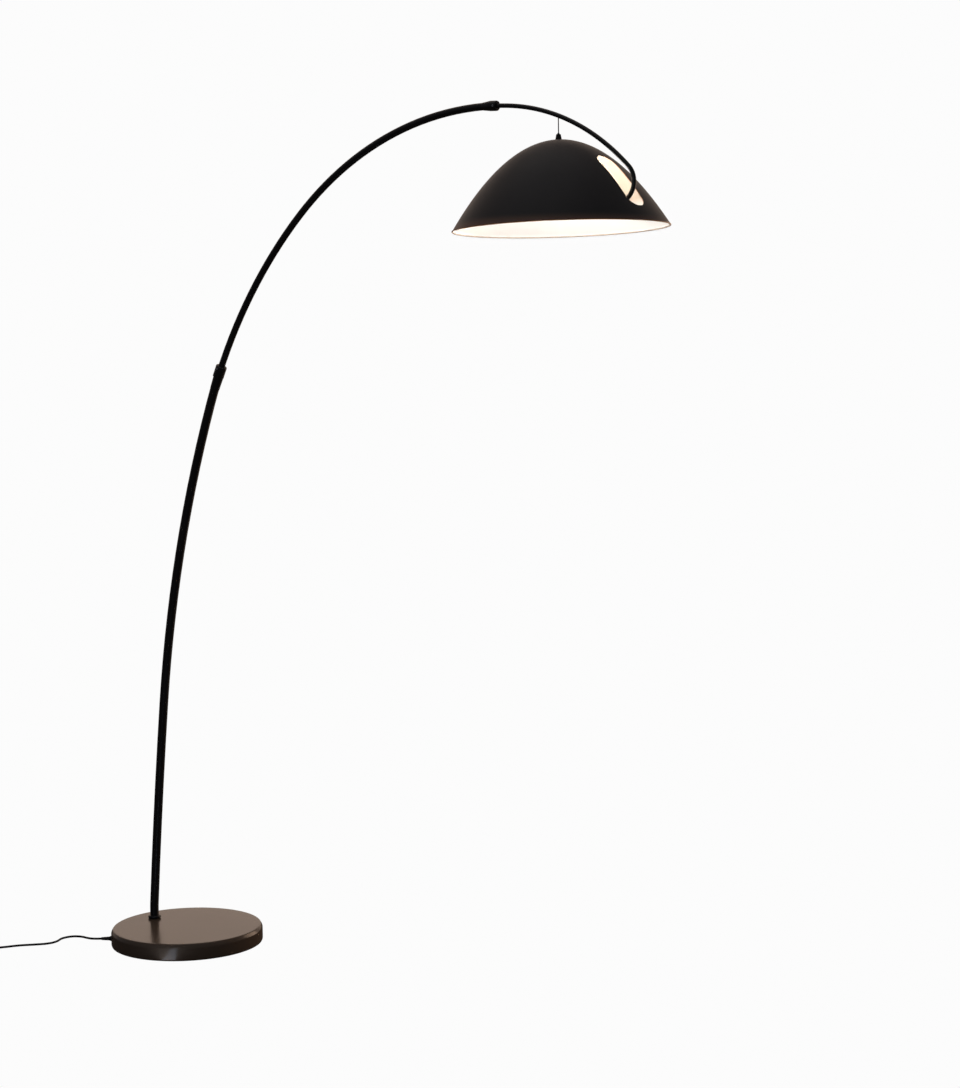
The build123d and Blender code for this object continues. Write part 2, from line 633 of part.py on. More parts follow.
def build_coil():
    export("cord_supply", cord_tube(SUPPLY_ROUTE, CORD_D, "cord_supply"))
    half = COIL_ROWS / 2 * CORD_D
    ring = tube(COIL_R + half, COIL_R - half, TIE_T, COIL_TOP)
    ring = fillet(ring.edges().filter_by(GeomType.CIRCLE), 2.2)
    export("cord_coil", Pos(COIL_MID.X, COIL_MID.Y, 0) * ring)
    tie = Box(2 * half + 2 * TIE_T, TIE_W, COIL_TOP + TIE_T) - Box(2 * half, TIE_W, COIL_TOP - TIE_T)
    place = Plane(origin=by_coil(-COIL_R, 0, (COIL_TOP + TIE_T) / 2), x_dir=CORD_DIR, z_dir=(0, 0, 1))
    export("coil_tie", place.location * tie)


def build_plug():
    export("cord_end", cord_tube(PLUG_ROUTE, CORD_D, "cord_end"))
    last = PLUG_ROUTE[-1]
    way = last - PLUG_ROUTE[-2]
    place = Plane(origin=last, x_dir=Vector(way.X, way.Y, 0), z_dir=(0, 0, 1)).location
    relief = turned([(0, 0), (3.2, 0), (4.6, RELIEF_L), (4.6, RELIEF_L + 2), (0, RELIEF_L + 2)])
    export("plug_relief", place * Rot(0, 90, 0) * relief)
    outline = Polyline(
        (RELIEF_L, -5.5), (RELIEF_L + 9, -PLUG_W / 2), (RELIEF_L + PLUG_L, -PLUG_W / 2),
        (RELIEF_L + PLUG_L, PLUG_W / 2), (RELIEF_L + 9, PLUG_W / 2), (RELIEF_L, 5.5), close=True,
    )
    body = extrude(make_face(outline), PLUG_T / 2, both=True)
    body = fillet(body.faces().sort_by(Axis.X)[:-1].edges(), 2.0)
    body -= Rot(0, 90, 0) * disc(4.6, RELIEF_L - 1, RELIEF_L + 2)
    pins = []
    for side in (-1, 1):
        spot = Pos(RELIEF_L + PLUG_L, side * PIN_SPACING / 2, 0) * Rot(0, 90, 0)
        body -= spot * disc(PIN_ROOT_R + FIT, -8, 1)
        pin = turned([
            (0, -8), (PIN_ROOT_R, -8), (PIN_ROOT_R, 0), (PIN_R, 0),
            (PIN_R, PIN_WALL), (PIN_R - 1, PIN_WALL + 1), (0, PIN_WALL + 1),
        ])
        pins.append(spot * pin)
    export("plug_body", place * body)
    export("plug_pins", place * Compound(children=pins))


build_base()
build_foot()
build_gland()
build_wiring()
build_arm()
build_holder()
build_shade()
build_suspension()
export("cord_lead", cord_tube(LEAD_ROUTE, CORD_D, "cord_lead"))
build_switch()
build_coil()
build_plug()
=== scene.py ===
"""Looks of the arc floor lamp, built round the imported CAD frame.

Shapes are written in millimetres, as in the CAD, and scaled to metres at the end.
"""

import json
import math

import bmesh
import bpy
from mathutils import Matrix, Vector, geometry


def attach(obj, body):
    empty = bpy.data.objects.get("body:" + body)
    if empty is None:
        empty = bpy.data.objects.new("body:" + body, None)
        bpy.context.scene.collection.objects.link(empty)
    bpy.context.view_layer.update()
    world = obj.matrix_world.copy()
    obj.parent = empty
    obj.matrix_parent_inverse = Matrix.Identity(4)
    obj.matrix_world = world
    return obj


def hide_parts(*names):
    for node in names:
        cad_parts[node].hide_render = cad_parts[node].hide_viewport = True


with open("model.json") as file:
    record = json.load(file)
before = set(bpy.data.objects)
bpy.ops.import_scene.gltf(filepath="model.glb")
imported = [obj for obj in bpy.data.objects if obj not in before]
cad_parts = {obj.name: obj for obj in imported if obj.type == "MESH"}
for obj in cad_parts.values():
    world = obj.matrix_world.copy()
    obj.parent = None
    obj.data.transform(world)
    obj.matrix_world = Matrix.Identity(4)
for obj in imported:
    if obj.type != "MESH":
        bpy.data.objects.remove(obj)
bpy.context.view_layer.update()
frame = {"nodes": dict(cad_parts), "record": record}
nodes = frame["nodes"]
scene = bpy.context.scene
MM = 0.001
TO_METRES = Matrix.Scale(MM, 4)

# ---------------------------------------------------------------- camera
CAM_PITCH = 0.0782          # radians below level
CAM_ROLL = -0.0144
CAM_YAW = math.radians(40)
CAM_PLACE = Vector((3.72514, -3.35776, 1.30944))
CAM_LENS, CAM_SENSOR = 71.70, 36
CAM_NEAR, CAM_FAR = 0.05, 100


def make_camera():
    right = Vector((math.cos(CAM_YAW), math.sin(CAM_YAW), 0))
    level = Vector((-math.sin(CAM_YAW), math.cos(CAM_YAW), 0))
    forward = level * math.cos(CAM_PITCH) - Vector((0, 0, math.sin(CAM_PITCH)))
    above = level * math.sin(CAM_PITCH) + Vector((0, 0, math.cos(CAM_PITCH)))
    cam_x = right * math.cos(CAM_ROLL) + above * math.sin(CAM_ROLL)
    cam_y = above * math.cos(CAM_ROLL) - right * math.sin(CAM_ROLL)
    camera = bpy.data.objects.new("camera", bpy.data.cameras.new("camera"))
    scene.collection.objects.link(camera)
    turn = Matrix((cam_x, cam_y, -forward)).transposed().to_4x4()
    camera.matrix_world = Matrix.Translation(CAM_PLACE) @ turn
    camera.data.sensor_width = CAM_SENSOR
    camera.data.lens = CAM_LENS
    camera.data.clip_start, camera.data.clip_end = CAM_NEAR, CAM_FAR
    scene.camera = camera
    scene.view_settings.view_transform = "Standard"


make_camera()


# ---------------------------------------------------------------- material helpers
def set_stops(ramp, stops):
    """Give a colour ramp its (position, colour) stops."""
    elements = ramp.color_ramp.elements
    while len(elements) < len(stops):
        elements.new(0.5)
    for element, (position, color) in zip(elements, stops):
        element.position, element.color = position, (*color, 1)


def tinted(color, factor):
    return tuple(c * factor for c in color)


class Nodes:
    """A node tree with short calls for the nodes that the materials share."""

    def __init__(self, name):
        self.material = bpy.data.materials.new(name)
        self.material.use_nodes = True
        self.tree = self.material.node_tree
        self.tree.nodes.clear()
        self.shader = self.add("ShaderNodeBsdfPrincipled")
        self.output = self.add("ShaderNodeOutputMaterial")
        self.link(self.shader.outputs["BSDF"], self.output.inputs["Surface"])
        self.place = self.add("ShaderNodeTexCoord").outputs["Object"]

    def add(self, kind, **settings):
        node = self.tree.nodes.new(kind)
        for key, value in settings.items():
            setattr(node, key, value)
        return node

    def link(self, source, target):
        self.tree.links.new(source, target)

    def into(self, name, source):
        """Link an output to one of the shader's own sockets."""
        self.link(source, self.shader.inputs[name])

    def set(self, **values):
        """Set the shader's own sockets; an underscore stands for a space."""
        for key, value in values.items():
            self.shader.inputs[key.replace("_", " ")].default_value = value

    def noise(self, scale, detail=3.0, rough=0.5):
        node = self.add("ShaderNodeTexNoise")
        node.inputs["Scale"].default_value = scale
        node.inputs["Detail"].default_value = detail
        node.inputs["Roughness"].default_value = rough
        self.link(self.place, node.inputs["Vector"])
        return node.outputs["Fac"]

    def ramp(self, value, *stops):
        node = self.add("ShaderNodeValToRGB")
        set_stops(node, stops)
        self.link(value, node.inputs["Fac"])
        return node.outputs["Color"]

    def remap(self, value, low, high, start=0.0, end=1.0, **settings):
        """Turn start..end into low..high."""
        node = self.add("ShaderNodeMapRange", **settings)
        node.inputs["From Min"].default_value = start
        node.inputs["From Max"].default_value = end
        node.inputs["To Min"].default_value = low
        node.inputs["To Max"].default_value = high
        self.link(value, node.inputs["Value"])
        return node.outputs[0]

    def height(self):
        """Height above the floor, in metres."""
        split = self.add("ShaderNodeSeparateXYZ")
        self.link(self.place, split.inputs[0])
        return split.outputs["Z"]

    def scaled_sum(self, one, two, factor):
        """one + two * factor"""
        scaled = self.add("ShaderNodeMath", operation="MULTIPLY")
        scaled.inputs[1].default_value = factor
        self.link(two, scaled.inputs[0])
        total = self.add("ShaderNodeMath", operation="ADD")
        self.link(one, total.inputs[0])
        self.link(scaled.outputs[0], total.inputs[1])
        return total.outputs[0]

    def mix(self, factor, plain, color):
        """Go from a linked colour to a fixed one."""
        node = self.add("ShaderNodeMix", data_type="RGBA")
        self.link(factor, node.inputs["Factor"])
        self.link(plain, node.inputs[6])
        node.inputs[7].default_value = (*color, 1)
        return node.outputs[2]

    def bump(self, height, strength, distance=0.0004):
        node = self.add("ShaderNodeBump")
        node.inputs["Strength"].default_value = strength
        node.inputs["Distance"].default_value = distance
        self.link(height, node.inputs["Height"])
        self.into("Normal", node.outputs[0])


def paint(name, color, rough, ior, grain=1400.0, bump=0.05, drift=0.25, **extra):
    """Powder coat or moulded plastic: fine grain, faint cloudy drift in colour and gloss."""
    m = Nodes(name)
    cloud = m.noise(9.0, detail=4.0)
    darker, lighter = tinted(color, 1 - drift), tinted(color, 1 + drift)
    m.into("Base Color", m.ramp(cloud, (0.3, darker), (0.7, lighter)))
    smear = m.noise(26.0, detail=5.0, rough=0.6)
    m.into("Roughness", m.remap(smear, rough - 0.05, rough + 0.05))
    m.bump(m.noise(grain, detail=2.0), bump)
    m.set(IOR=ior, **extra)
    return m


def metal(name, color, rough, bump=0.06):
    """Bare metal: fine scratches and uneven polish."""
    m = Nodes(name)
    worn = m.noise(60.0, detail=5.0, rough=0.65)
    m.into("Base Color", m.ramp(worn, (0.35, tinted(color, 0.82)), (0.65, color)))
    scratch = m.noise(700.0, detail=3.0, rough=0.6)
    m.into("Roughness", m.remap(scratch, rough * 0.75, rough * 1.35))
    m.bump(scratch, bump, distance=0.0002)
    m.set(Metallic=1.0)
    return m


# ---------------------------------------------------------------- materials
SHADE_DEPTH = 171.0         # millimetres, as the other measures of the shade further down
SHADE_FOOT_Z = 1.586        # height of the shade's rim, metres
PAINTED_GLOW_BAND = 0.022           # height of the band of painted warm glow above the rim, metres


def make_base_paint():
    """Dark brown-black lacquer, smooth enough to mirror the pole at a shallow angle."""
    m = Nodes("base_lacquer")
    cloud = m.noise(6.0, detail=4.0)
    m.into("Base Color", m.ramp(cloud, (0.3, (0.066, 0.047, 0.033)), (0.7, (0.080, 0.057, 0.041))))
    smear = m.noise(14.0, detail=6.0, rough=0.6)
    m.into("Roughness", m.remap(smear, 0.17, 0.25))
    m.bump(m.noise(520.0, detail=2.0), 0.035)
    m.set(IOR=1.27)
    return m


def make_shade_paint():
    """Matt black outside of the shade, browner in a narrow band above the rim: a painted warm
    glow.
    """
    m = Nodes("shade_black")
    cloud = m.noise(7.0, detail=4.0)
    plain = m.ramp(cloud, (0.3, (0.0190, 0.0172, 0.0180)), (0.7, (0.0230, 0.0208, 0.0218)))
    # painted warm glow: browner just above the rim, fading out upwards
    painted_glow = m.remap(
        m.height(), 1.0, 0.0, SHADE_FOOT_Z, SHADE_FOOT_Z + PAINTED_GLOW_BAND,
        interpolation_type="SMOOTHSTEP",
    )
    m.into("Base Color", m.mix(painted_glow, plain, (0.125, 0.070, 0.048)))
    m.into("Roughness", m.remap(m.noise(20.0, detail=5.0), 0.42, 0.52))
    m.bump(m.noise(1100.0, detail=2.0), 0.07)
    m.set(IOR=1.2, Sheen_Weight=0.07, Sheen_Roughness=0.45)
    return m


def make_inner_white_and_painted_shade():
    """Inside of the shade: smooth white enamel, white near the rim, with painted shade with a warm
    cast that turns it a darker cream round the bulb and above.
    """
    m = Nodes("shade_inside_painted_shade")
    painted_shade_rise = m.remap(m.height(), 0.0, 1.0, SHADE_FOOT_Z, SHADE_FOOT_Z + SHADE_DEPTH * MM)
    drift = m.scaled_sum(painted_shade_rise, m.noise(12.0, detail=4.0), 0.04)
    # painted shade: white near the rim, a darker warm cream higher up
    tone = m.ramp(
        drift,
        (0.0, (0.97, 0.97, 0.97)), (0.24, (0.95, 0.95, 0.95)),
        (0.40, (0.55, 0.455, 0.365)), (1.0, (0.52, 0.43, 0.345)),
    )
    m.into("Base Color", tone)
    m.into("Roughness", m.remap(m.noise(30.0, detail=4.0), 0.38, 0.5))
    m.bump(m.noise(900.0, detail=2.0), 0.04)
    m.set(IOR=1.45)
    return m


def make_painted_rim_light(name, color):
    """Rolled rim and slot edge of the painted sheet: the colour given here is painted light and
    shade from the lamp, not the lacquer's own.
    """
    m = Nodes(name)
    m.into("Base Color", m.ramp(m.noise(70.0), (0.3, tinted(color, 0.8)), (0.7, color)))
    m.into("Roughness", m.remap(m.noise(200.0), 0.35, 0.5))
    m.bump(m.noise(1500.0), 0.04, distance=0.0003)
    m.set(IOR=1.4)
    return m


def make_bulb_glass():
    """Opal glass, lit from inside, with a faintly uneven glow."""
    m = Nodes("bulb_opal")
    cloud = m.noise(40.0)
    m.into("Base Color", m.ramp(cloud, (0.3, (0.9, 0.88, 0.84)), (0.7, (0.95, 0.93, 0.9))))
    m.into("Emission Color", m.ramp(cloud, (0.3, (1.0, 0.94, 0.87)), (0.7, (1.0, 0.96, 0.91))))
    m.set(Roughness=0.2, IOR=1.5, Emission_Strength=92.0)
    return m


def make_stranded():
    """Dull drawn steel of the wire's strands."""
    m = Nodes("wire_strands")
    tone = m.noise(900.0, detail=2.0)
    m.into("Base Color", m.ramp(tone, (0.3, (0.07, 0.07, 0.07)), (0.7, (0.14, 0.14, 0.142))))
    m.into("Roughness", m.remap(m.noise(400.0), 0.3, 0.45))
    m.bump(m.noise(2600.0, detail=2.0), 0.1, distance=0.0002)
    m.set(Metallic=1.0)
    return m


def make_foam():
    """Closed-cell foam of the floor pad."""
    m = Nodes("foam")
    cells = m.add("ShaderNodeTexVoronoi")
    cells.inputs["Scale"].default_value = 900.0
    m.link(m.place, cells.inputs["Vector"])
    distance = cells.outputs["Distance"]
    m.into("Base Color", m.ramp(distance, (0.0, (0.010, 0.010, 0.010)), (0.8, (0.03, 0.03, 0.03))))
    m.bump(distance, 0.5, distance=0.0006)
    m.set(Roughness=0.92, IOR=1.4)
    return m


def make_iron():
    """Sand-cast iron of the weight."""
    m = Nodes("iron")
    sand = m.noise(500.0, detail=6.0, rough=0.7)
    m.into("Base Color", m.ramp(sand, (0.3, (0.06, 0.058, 0.056)), (0.75, (0.14, 0.135, 0.13))))
    m.bump(sand, 0.5, distance=0.0008)
    m.set(Roughness=0.62, Metallic=0.8)
    return m


BASE_PAINT = make_base_paint()
SHADE_BLACK = make_shade_paint()
SHADE_INNER_WITH_PAINTED_SHADE = make_inner_white_and_painted_shade()
# coppery: painted warm glow of the lamp on the cut and rolled edges
SHADE_EDGE_GLOW = make_painted_rim_light("shade_edge_painted_glow", (0.55, 0.25, 0.11))
# beige: painted shade on the bead's white inner half
SHADE_BEAD_SHADED = make_painted_rim_light("shade_bead_painted_shade", (0.56, 0.45, 0.36))
BULB = make_bulb_glass()
STRANDS = make_stranded()
FOAM = make_foam()
IRON = make_iron()
ARM_PAINT = paint(
    "arm_black", (0.0098, 0.0094, 0.0098), rough=0.34, ior=1.30, grain=1200.0, bump=0.04,
)
GLOSS_BLACK = paint(
    "phenolic_black", (0.010, 0.009, 0.009), rough=0.16, ior=1.45, grain=500.0, bump=0.02,
)
BLACK_PLASTIC = paint(
    "plastic_black", (0.010, 0.010, 0.0105), rough=0.48, ior=1.42, grain=1700.0, bump=0.12,
)
GRIP_BLACK = paint(
    "grip_black", (0.006, 0.006, 0.0065), rough=0.25, ior=1.35, grain=900.0, bump=0.02,
)
CORD_BLACK = paint(
    "cord_jacket", (0.0075, 0.007, 0.007), rough=0.6, ior=1.25, grain=1500.0, bump=0.1,
)
RUBBER = paint(
    "relief_rubber", (0.009, 0.0085, 0.0085), rough=0.55, ior=1.36, grain=1300.0, bump=0.12,
)
BAND = paint(
    "woven_band", (0.012, 0.012, 0.013), rough=0.8, ior=1.4, grain=700.0, bump=0.5,
    Sheen_Weight=0.25,
)
CERAMIC = paint(
    "glazed_insulator", (0.72, 0.70, 0.66), rough=0.22, ior=1.5, grain=300.0, bump=0.02,
    drift=0.03,
)
STEEL = metal("zinc_steel", (0.56, 0.57, 0.60), rough=0.32)
BRASS = metal("brass", (0.78, 0.56, 0.26), rough=0.28)
NICKEL = metal("nickel", (0.72, 0.69, 0.64), rough=0.2, bump=0.03)

SLOT_MATERIAL = {
    "base_paint": BASE_PAINT, "arm_paint": ARM_PAINT, "shade_paint": SHADE_BLACK, "iron": IRON,
    "steel": STEEL, "wire_steel": STRANDS, "brass": BRASS, "nickel": NICKEL, "foam": FOAM,
    "black_plastic": BLACK_PLASTIC, "gloss_black": GLOSS_BLACK, "white_insulator": CERAMIC,
    "cord_pvc": CORD_BLACK, "bulb_glass": BULB,
}
NODE_MATERIAL = {
    "grip_body": GRIP_BLACK, "release_plunger": GRIP_BLACK, "cord_gland": RUBBER,
    "switch_bushes": RUBBER, "plug_relief": RUBBER, "coil_tie": RUBBER,
}
slot_of = {s["node"]: s["material_slot"] for s in frame["record"]["subparts"]}
for name, node in nodes.items():
    chosen = NODE_MATERIAL.get(name, SLOT_MATERIAL[slot_of[name]])
    node.data.materials.clear()
    node.data.materials.append(chosen.material)


# ---------------------------------------------------------------- mesh helpers
def on_circle(radius, angle, height=0.0):
    return Vector((radius * math.cos(angle), radius * math.sin(angle), height))


def to_mesh(bm, name, matrix=None):
    """Close a bmesh, with its faces turned outwards, into a mesh moved by the matrix."""
    bmesh.ops.recalc_face_normals(bm, faces=bm.faces)
    mesh = bpy.data.meshes.new(name)
    bm.to_mesh(mesh)
    bm.free()
    if matrix:
        mesh.transform(matrix)
    return mesh


def piece(mesh, materials, body, sharp=35.0):
    """Show a mesh as a piece that rides on a CAD body. Edges sharper than sharp stay sharp."""
    obj = bpy.data.objects.new(mesh.name, mesh)
    scene.collection.objects.link(obj)
    for material in materials:
        mesh.materials.append(material.material)
    mesh.shade_smooth()
    mesh.set_sharp_from_angle(angle=math.radians(sharp))
    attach(obj, body)
    return obj


def lathe_mesh(name, outline, steps, matrix, wave=None, closed=True):
    """Turn (radius, height) points round Z.

    wave(angle, point number, radius) may change the radius. closed joins the last point to
    the first one.
    """
    bm = bmesh.new()
    rings = []
    for number, (radius, height) in enumerate(outline):
        if radius == 0:
            rings.append([bm.verts.new((0, 0, height))])
            continue
        ring = []
        for step in range(steps):
            angle = math.tau * step / steps
            r = wave(angle, number, radius) if wave else radius
            ring.append(bm.verts.new(on_circle(r, angle, height)))
        rings.append(ring)
    pairs = list(zip(rings, rings[1:]))
    if closed:
        pairs.append((rings[-1], rings[0]))
    for one, two in pairs:
        if len(one) == 1 and len(two) == 1:
            continue
        for step in range(steps):
            after = (step + 1) % steps
            corners = [
                one[step % len(one)], one[after % len(one)],
                two[after % len(two)], two[step % len(two)],
            ]
            bm.faces.new(list(dict.fromkeys(corners)))
    return to_mesh(bm, name, matrix)


def rounded(points, radius, steps):
    """Round the corners of a closed outline of 2-D points."""
    result = []
    count = len(points)
    for i, here in enumerate(points):
        here = Vector(here)
        before, after = Vector(points[i - 1]) - here, Vector(points[(i + 1) % count]) - here
        reach = min(radius, 0.45 * before.length, 0.45 * after.length)
        start, end = here + before.normalized() * reach, here + after.normalized() * reach
        for step in range(steps + 1):
            t = step / steps
            result.append(tuple(start * (1 - t) ** 2 + here * 2 * t * (1 - t) + end * t * t))
    return result


def sweep(bm, path, section, normal, closed=False):
    """Carry a closed 2-D section along a list of points. normal gives its second axis."""
    rings = []
    count = len(path)
    for i, here in enumerate(path):
        before = path[i - 1] if (i > 0 or closed) else here
        after = path[(i + 1) % count] if (i < count - 1 or closed) else here
        along = (after - before).normalized()
        side = along.cross(normal).normalized()
        up = side.cross(along).normalized()
        rings.append([bm.verts.new(here + side * u + up * v) for u, v in section])
    pairs = list(zip(rings, rings[1:])) + ([(rings[-1], rings[0])] if closed else [])
    for one, two in pairs:
        join_loops(bm, one, two)
    if not closed:
        bm.faces.new(rings[0])
        bm.faces.new(reversed(rings[-1]))


def join_loops(bm, one, two, index=0):
    """Close the strip between two loops of as many vertices; index is its material."""
    for k in range(len(one)):
        after = (k + 1) % len(one)
        bm.faces.new((one[k], one[after], two[after], two[k])).material_index = index


def towards(place, axis):
    """Millimetre lathe space to metres: Z along the axis, starting at the place."""
    turn = Vector(axis).to_track_quat("Z", "Y").to_matrix().to_4x4()
    return TO_METRES @ Matrix.Translation(place) @ turn


# ---------------------------------------------------------------- cords
CORD_D = 5.0
LEAD_ROUTE = (
    (-150.942, -131.212, 11.0),
    (-167.0, -143.0, 10.4),
    (-192.0, -141.0, 8.4),
    (-219.0, -132.5, 5.4),
    (-248.0, -138.0, 3.0),
    (-255.0, -165.0, 2.6),
    (-239.0, -190.0, 2.6),
    (-241.0, -216.0, 2.6),
    (-263.0, -243.0, 2.6),
    (-285.0, -268.0, 2.6),
    (-301.0, -302.0, 2.6),
    (-316.0, -333.0, 5.0),
    (-322.6, -347.6, 7.0),
)
LEAD_END = Vector((-322.6, -347.6, 0))
CORD_DIR = Vector((-6.6, -14.6, 0)).normalized()        # the way the cord meets the switch
SIDE_DIR = Vector((CORD_DIR.y, -CORD_DIR.x, 0))
SWITCH_HALF = 45.0                                      # half the foot switch, bushes included
SWITCH_CORD_Z = 7.0
SWITCH_MID = LEAD_END + CORD_DIR * SWITCH_HALF
SUPPLY_START = SWITCH_MID + CORD_DIR * SWITCH_HALF + Vector((0, 0, SWITCH_CORD_Z))
COIL_OUT, COIL_IN = 31.0, 21.2                          # radii of the widest and tightest turns
COIL_AHEAD = 42.0                                       # from the switch to the coil's middle
COIL_FLOOR = 0.9 + CORD_D / 2
COIL_MID = (
    Vector((SUPPLY_START.x, SUPPLY_START.y, 0)) + CORD_DIR * COIL_AHEAD + SIDE_DIR * COIL_OUT
)
LAYERS = 4
LAYER_TURN, CLIMB_TURN = 705.0, 80.0                    # degrees in a layer, and to the next one
POINT_TURN = 15.0                                       # degrees between route points


def by_coil(back, side, height):
    """A point from the coil's middle: back towards the switch, aside, and up from the floor."""
    return COIL_MID - CORD_DIR * back + SIDE_DIR * side + Vector((0, 0, height))


def coil_points():
    """Four layers wound in and out in turn, each climbing to the next at its end."""
    points = []
    total = LAYERS * LAYER_TURN + (LAYERS - 1) * CLIMB_TURN
    # the spline runs inside its control points, so these lie on a slightly wider circle
    spare = 1 / (0.75 + 0.25 * math.cos(math.radians(POINT_TURN)))
    turned = 0.0
    while turned <= total:
        layer = min(int(turned // (LAYER_TURN + CLIMB_TURN)), LAYERS - 1)
        part = turned - layer * (LAYER_TURN + CLIMB_TURN)
        share = min(part / LAYER_TURN, 1.0)
        climb = max(part - LAYER_TURN, 0.0) / CLIMB_TURN
        first, last = (COIL_OUT, COIL_IN) if layer % 2 == 0 else (COIL_IN, COIL_OUT)
        radius = (first + (last - first) * share) * spare
        height = COIL_FLOOR + CORD_D * (layer + climb * climb * (3 - 2 * climb))
        angle = math.radians(turned)
        points.append(by_coil(-radius * math.sin(angle), -radius * math.cos(angle), height))
        turned += POINT_TURN
    return points


MAINS_ROUTE = (
    SUPPLY_START,
    SUPPLY_START + CORD_DIR * 9,
    by_coil(20.5, -COIL_OUT, COIL_FLOOR),
    by_coil(12.5, -COIL_OUT, COIL_FLOOR),
    *coil_points(),
    by_coil(12.0, COIL_OUT, 18.3),
    by_coil(22.0, COIL_OUT, 17.4),
    by_coil(37.0, COIL_OUT + 2.0, 10.4),
    by_coil(47.0, COIL_OUT + 4.4, 7.5),
    by_coil(57.0, COIL_OUT + 7.2, 6.9),
)


def cord_curve(name, route, material):
    curve = bpy.data.curves.new(name, "CURVE")
    curve.dimensions = "3D"
    curve.bevel_depth = CORD_D / 2 * MM
    curve.bevel_resolution = 5
    curve.use_fill_caps = True
    spline = curve.splines.new("NURBS")
    spline.points.add(len(route) - 1)
    for point, place in zip(spline.points, route):
        point.co = (*(Vector(place) * MM), 1)
    spline.order_u = 3
    spline.use_endpoint_u = True
    spline.resolution_u = 10
    curve.materials.append(material.material)
    obj = bpy.data.objects.new(name, curve)
    scene.collection.objects.link(obj)
    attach(obj, "stand")
    return obj


BAND_HALF_X, BAND_HALF_Z, BAND_MID_Z = 7.95, 10.45, 10.9
BAND_CORNER_R = 3.2
BAND_HALF_T, BAND_HALF_W, BAND_EDGE_R = 0.42, 3.5, 0.2


def corners_of(half_x, half_y):
    return [(-half_x, -half_y), (half_x, -half_y), (half_x, half_y), (-half_x, half_y)]


def make_tie():
    """Hook-and-loop band round the coil's turns."""
    centre = by_coil(-(COIL_OUT + COIL_IN) / 2, 0, BAND_MID_Z)
    loop = rounded(corners_of(BAND_HALF_X, BAND_HALF_Z), BAND_CORNER_R, 8)
    path = [centre + CORD_DIR * x + Vector((0, 0, z)) for x, z in loop]
    section = rounded(corners_of(BAND_HALF_T, BAND_HALF_W), BAND_EDGE_R, 2)
    bm = bmesh.new()
    sweep(bm, path, section, SIDE_DIR, closed=True)
    mesh = to_mesh(bm, "coil_band", TO_METRES)
    band = piece(mesh, [BAND], "stand", sharp=50)
    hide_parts("coil_tie")
    return band


RELIEF_RINGS, RELIEF_FIRST, RELIEF_PITCH = 6, 2.4, 2.9
RELIEF_THIN, RELIEF_THICK, RELIEF_TAPER, RELIEF_L = 3.2, 4.6, 20.0, 22.0
RELIEF_GROOVE = 0.55


def make_relief():
    """Tapered bend relief of the plug, with rings moulded round it."""
    start, end = Vector(MAINS_ROUTE[-2]), Vector(MAINS_ROUTE[-1])
    way = end - start
    way.z = 0
    outline = [(0, 0), (2.9, 0), (RELIEF_THIN, 0.4)]
    for k in range(RELIEF_RINGS):
        z = RELIEF_FIRST + RELIEF_PITCH * k
        r = RELIEF_THIN + (RELIEF_THICK - RELIEF_THIN) * z / RELIEF_TAPER
        low = r - RELIEF_GROOVE
        outline += [(r, z), (low, z + 0.35), (low, z + 1.15), (r + 0.05, z + 1.5)]
    outline += [(RELIEF_THICK, RELIEF_TAPER), (RELIEF_THICK, RELIEF_L), (0, RELIEF_L)]
    mesh = lathe_mesh("ringed_relief", outline, 48, towards(end, way), closed=False)
    relief = piece(mesh, [RUBBER], "stand")
    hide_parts("plug_relief")
    return relief


lead = cord_curve("lead_cord", LEAD_ROUTE, CORD_BLACK)
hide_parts("cord_lead")
mains = cord_curve("mains_cord", MAINS_ROUTE, CORD_BLACK)
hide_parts("cord_supply", "cord_coil", "cord_end")
band, relief = make_tie(), make_relief()

# ---------------------------------------------------------------- base cover
BASE_R, BASE_H, TOP_R, SHOULDER_Z = 175.0, 39.0, 170.5, 31.0
COVER_WALL, COVER_EDGE_Z = 2.0, 1.0
COVER_TUCK, COVER_TUCK_Z = 1.2, 4.0                     # how the lower edge turns in
COVER_ROUND = 2.6                                       # rounding of the bevel's two edges
COVER_FLAT_RINGS = (55.0, 110.0, 145.0, 162.0)


def make_base_cover():
    """Spun cover: flat top, soft bevel, upright side with a turned-in lower edge."""
    under_top = BASE_H - COVER_WALL
    corners = [
        (0, BASE_H), (TOP_R, BASE_H), (BASE_R, SHOULDER_Z), (BASE_R, COVER_TUCK_Z),
        (BASE_R - COVER_TUCK, COVER_EDGE_Z), (BASE_R - COVER_WALL, COVER_EDGE_Z),
        (BASE_R - COVER_WALL, SHOULDER_Z - 1.0), (TOP_R - COVER_WALL, under_top), (0, under_top),
    ]
    edge = [p for p in rounded(corners, COVER_ROUND, 8) if p[0] > TOP_R / 2]
    outline = [(0, BASE_H), *[(r, BASE_H) for r in COVER_FLAT_RINGS], *edge]
    outline += [*[(r, under_top) for r in reversed(COVER_FLAT_RINGS)], (0, under_top)]
    mesh = lathe_mesh("base_shell", outline, 256, TO_METRES)
    cover = piece(mesh, [BASE_PAINT], "stand", sharp=60)
    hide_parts("base_cover")


make_base_cover()

